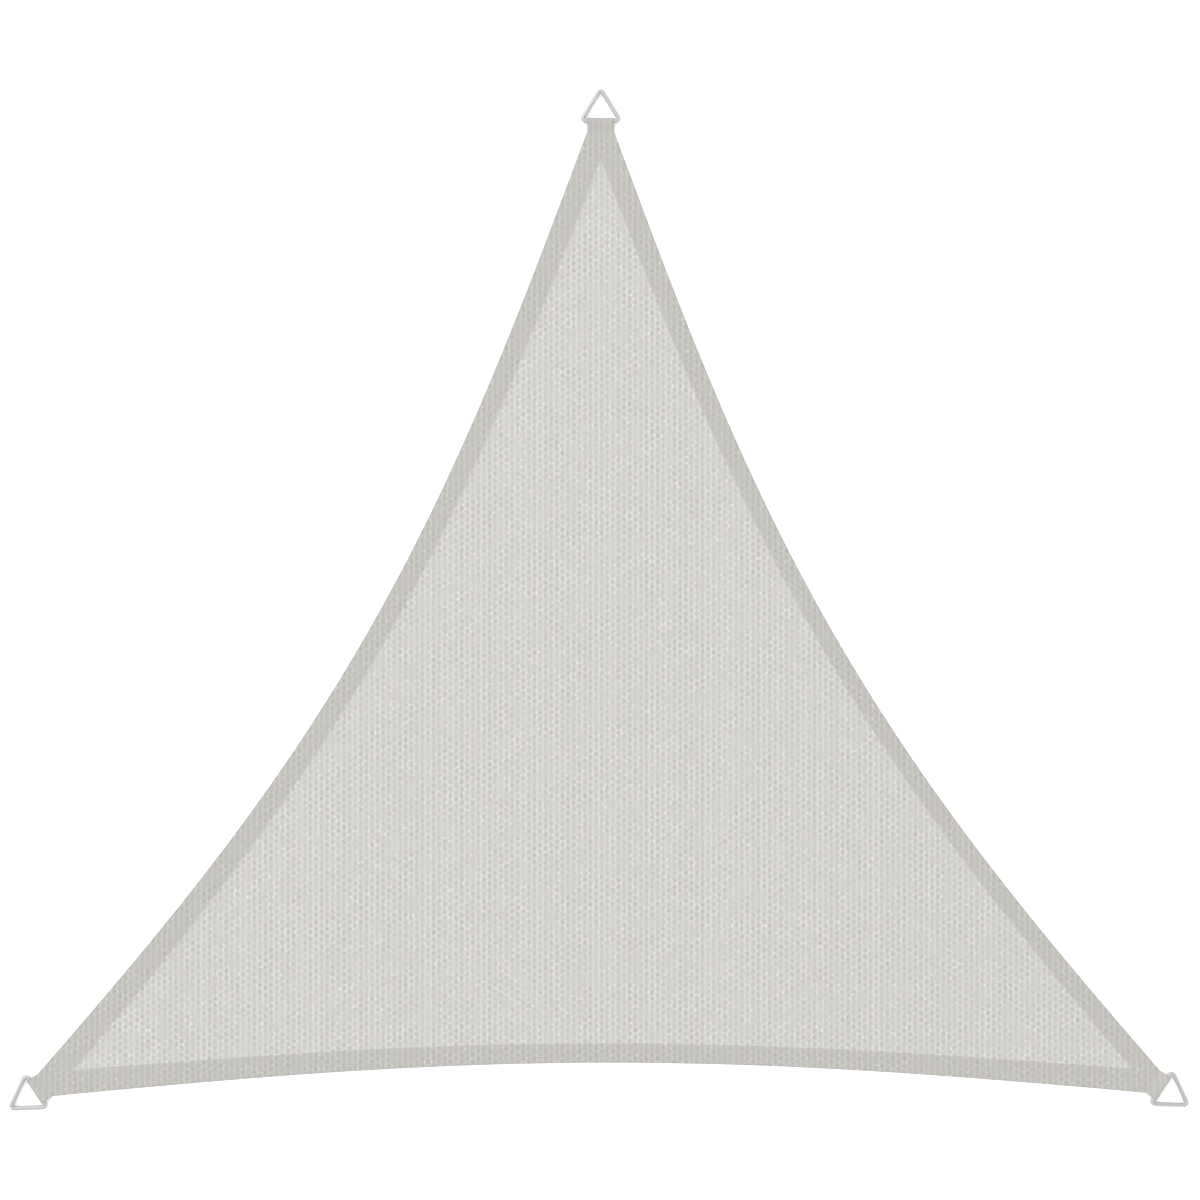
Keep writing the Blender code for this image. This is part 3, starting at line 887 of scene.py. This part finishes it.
def makeKnitMaterial():
    look = knitLook
    shader = Shader("knitted_cloth", {"IOR": 1.46})
    laid = shader.mark("laid", "Vector")
    x, y, z = [shader.node("SeparateXYZ", {}, {"Vector": laid}, axis) for axis in "XYZ"]
    doubledShaded = shader.mark("doubledShaded")
    busy = shader.mark("busy") * (1 - doubledShaded * look["hemCalm"])
    pitch = cloth["ribPitch"] * 1000
    knot = cloth["knotPitch"] * 1000
    rib = (x / pitch).maths("ROUND")
    off = x - rib * pitch
    along = y + (shader.noise(rib * 3.7, y / look["wanderLength"], 5, 1, 1) - 0.5) * look["wander"]
    knotNumber = (along / knot).maths("ROUND")
    luck = shader.chance(rib, knotNumber)
    least, more = look["lean"]
    lean = ((along / knot + rib) * math.pi).maths("COSINE")
    lean = lean * (shader.chance(rib + 0.3, knotNumber) * more + least)

    # Each rib, drawn to and fro by its knots.
    swayed = off - lean * busy * (cloth["sway"] * 1000)
    crest = 1 - (abs(swayed) / look["ribHalf"]).rise(0.2, 1)
    # A spot of painted light beside each knot.
    besideKnot = (abs(off - lean * look["dotOff"]) / look["dotHalf"]).rise(0.35, 1)
    dot = abs(lean).rise(0.72, 0.98) * (1 - besideKnot) * busy.rise(0.1, 0.7) * luck.rise(-0.2, 0.85)

    # Grooves open into pits of painted shade where two ribs lean apart, and close where they lean together.
    groove = (x / pitch).maths("FLOOR")
    grooveOff = abs(x - groove * pitch - pitch / 2)
    grooveLean = ((along / knot + groove) * math.pi).maths("COSINE")
    grooveLuck = shader.chance(groove + 0.5, knotNumber)
    shadedPit = (0 - grooveLean).rise(0.1, 0.95) * (1 - (grooveOff / look["pitHalf"]).rise(0.4, 1)) * busy
    shadedPit = shadedPit * grooveLuck.rise(-0.35, 0.8)
    bridge = grooveLean.rise(0.6, 1) * (1 - (grooveOff / look["bridgeHalf"]).rise(0.5, 1))
    bridge = bridge * busy * grooveLuck

    # The chain of loops along a rib, and the tapes that cross over each other between ribs.
    loops = ((y + abs(swayed) * look["loopSlant"]) / look["loop"]).maths("FRACT")
    chain = (abs(loops - 0.5) * 2).rise(0.45, 1) * crest
    across = (x / pitch - groove) * 2
    up = abs((y / look["loop"] + across).maths("FRACT") - 0.5) * 2
    down = abs((y / look["loop"] - across).maths("FRACT") - 0.5) * 2
    # The knit's small gaps between the tapes are painted dark as shade.
    shadedGaps = up.maths("MINIMUM", down).rise(0.3, 0.75) * (1 - crest)
    yarns = shader.noise(x * look["yarnSize"][0], y * look["yarnSize"][1], z, 1, 2)
    mottle = shader.noise(x / look["mottleSize"][0], y / look["mottleSize"][1], z, 1, 2)

    # Ribs lighter than the grooves, whose darker tone is partly the knit's own and partly painted shade.
    ribTone = (shader.chance(rib, 900) - 0.5) * look["ribSpread"] + look["rib"]
    tone = look["groove"] + (shader.chance(groove, 901) - 0.5) * look["grooveSpread"]
    tone = tone + crest * (ribTone - tone)
    tone = (tone - 1) * (busy * (1 - look["calm"]) + look["calm"]) + 1
    tone = tone * (1 - shadedPit * (1 - look["shadedPit"])) * (1 + bridge * (look["bridge"] - 1))
    tone = tone * (1 + dot * (look["dot"] - 1))
    tone = tone * (1 - chain * look["chain"]) * (1 - shadedGaps * (1 - look["gap"]))
    tone = tone * yarns.about(look["yarns"]) * mottle.about(look["mottle"])
    # Painted shade along the folded rim and the folds round the bars.
    tone = tone * (1 - shader.mark("rimShade") * (1 - look["rimShade"]))

    tint = shader.noise(x / look["tintSize"][0], y / look["tintSize"][1], z + 9, 1, 2)
    tinted = shader.blend(tint.rise(0.38, 0.62), look["warm"], look["cool"])
    onPanel, onHems = look["tints"]
    colour = shader.blend(doubledShaded * onHems + onPanel, look["colour"], tinted)
    # Painted shade on the doubled cloth of the hems and loops.
    colour = shader.times(colour, shader.blend(doubledShaded, (1, 1, 1, 1), look["doubledShaded"]))

    # What stands out gives the bump its height, and knots shine a little more.
    height = crest * 0.8 + dot * 0.7 + bridge * 0.5 - shadedPit * 0.6 - chain * 0.7 - shadedGaps * 0.8 + yarns * 0.4
    bump = shader.node("Bump", {}, {"Strength": 0.9, "Distance": look["bump"], "Height": height}, "Normal")
    rough = look["roughness"] + (mottle - 0.5) * 0.12 - dot * 0.08
    return shader.finish(Base_Color=shader.scaled(colour, tone), Roughness=rough, Normal=bump)


threadLook = {
    "tone": 0.9,
    "roughness": 0.7,
    "twist": 0.05,             # spread of tones from its twist
    "twistWay": (0.8, 0.6),
    "twistPace": 7,
    "wear": 0.06,
}


def makeThreadMaterial():
    look = threadLook
    shader = Shader("thread", {"IOR": 1.46, "Roughness": look["roughness"]})
    x, y = shader.axis("X"), shader.axis("Y")
    twist = ((x * look["twistWay"][0] + y * look["twistWay"][1]) * look["twistPace"]).maths("SINE")
    tone = look["tone"] + twist * look["twist"] + shader.noise(x, y, 0, 0.3) * look["wear"]
    return shader.finish(Base_Color=shader.scaled(knitLook["colour"][:3], tone))


steelLook = {
    "colour": (0.56, 0.56, 0.56),
    "roughness": 0.55,
    "cloudSize": 0.15,         # patches to a millimetre
    "fineSize": 1.6,
    "cloudTone": 0.08,
    "cloudRough": 0.16,
    "fineRough": 0.10,
    "bump": 0.00004,
}


def makeSteelMaterial():
    look = steelLook
    shader = Shader("ring_steel", {"Metallic": 1.0})
    x, y, z = shader.axis("X"), shader.axis("Y"), shader.axis("Z")
    cloud = shader.noise(x, y, z, look["cloudSize"], 3)
    fine = shader.noise(x, y, z, look["fineSize"], 2)
    rough = look["roughness"] + (cloud - 0.5) * look["cloudRough"] + (fine - 0.5) * look["fineRough"]
    bump = shader.node("Bump", {}, {"Strength": 0.5, "Distance": look["bump"], "Height": fine}, "Normal")
    colour = shader.scaled(look["colour"], cloud.about(look["cloudTone"]))
    return shader.finish(Base_Color=colour, Roughness=rough, Normal=bump)


sheet = makeSail()
cutTunnels(sheet)
markCloth(sheet)
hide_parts("sail_cloth")
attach(sheet, "root")
sheet.data.materials.clear()
sheet.data.materials.append(makeKnitMaterial())

threads = [sewHems(), sewCorners()]
threadMaterial = makeThreadMaterial()
for thread in threads:
    thread.data.materials.append(threadMaterial)
    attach(thread, "root")

steel = makeSteelMaterial()
for name in plan["corners"]:
    makeRing(name).data.materials.append(steel)
print("the pieces have their materials")

studio = {
    "floor": 0.98,
    "floorHalf": 30,
    "floorHeight": -0.0004,    # a little below the sail's underside
    "glow": 0.2,               # the floor's own light, which keeps the shadows on it faint
    "sky": 1.0,
    "lamp": 860.0,
    "lampPlace": (-9.5, 8.5, 14.5),
    "lampSize": 7.0,
    "lens": 85,
    "sensor": 36,
    "cameraPlace": (0.0018, -0.0004, 5.059),
}

reach, low = studio["floorHalf"], studio["floorHeight"]
floorMesh = bpy.data.meshes.new("floor")
corners = [(-reach, -reach, low), (reach, -reach, low), (reach, reach, low), (-reach, reach, low)]
floorMesh.from_pydata(corners, [], [(0, 1, 2, 3)])
floor = bpy.data.objects.new("floor", floorMesh)
bpy.context.scene.collection.objects.link(floor)
floorShader = Shader("floor", {"Roughness": 1.0, "Specular IOR Level": 0.0,
                               "Base Color": (studio["floor"],) * 3 + (1,),
                               "Emission Color": (1, 1, 1, 1), "Emission Strength": studio["glow"]})
floorMesh.materials.append(floorShader.material)

world = bpy.data.worlds.new("studio")
world.use_nodes = True
sky = world.node_tree.nodes["Background"].inputs
sky["Color"].default_value = (1, 1, 1, 1)
sky["Strength"].default_value = studio["sky"]
bpy.context.scene.world = world

lamp = bpy.data.objects.new("lamp", bpy.data.lights.new("lamp", "AREA"))
lamp.data.energy = studio["lamp"]
lamp.data.shape = "SQUARE"
lamp.data.size = studio["lampSize"]
lamp.location = studio["lampPlace"]
lamp.rotation_euler = (-Vector(studio["lampPlace"])).to_track_quat("-Z", "Y").to_euler()
bpy.context.scene.collection.objects.link(lamp)

camera = bpy.data.objects.new("camera", bpy.data.cameras.new("camera"))
camera.data.lens = studio["lens"]
camera.data.sensor_width = studio["sensor"]
camera.location = studio["cameraPlace"]
bpy.context.scene.collection.objects.link(camera)
bpy.context.scene.camera = camera
print("floor, light and camera are set")
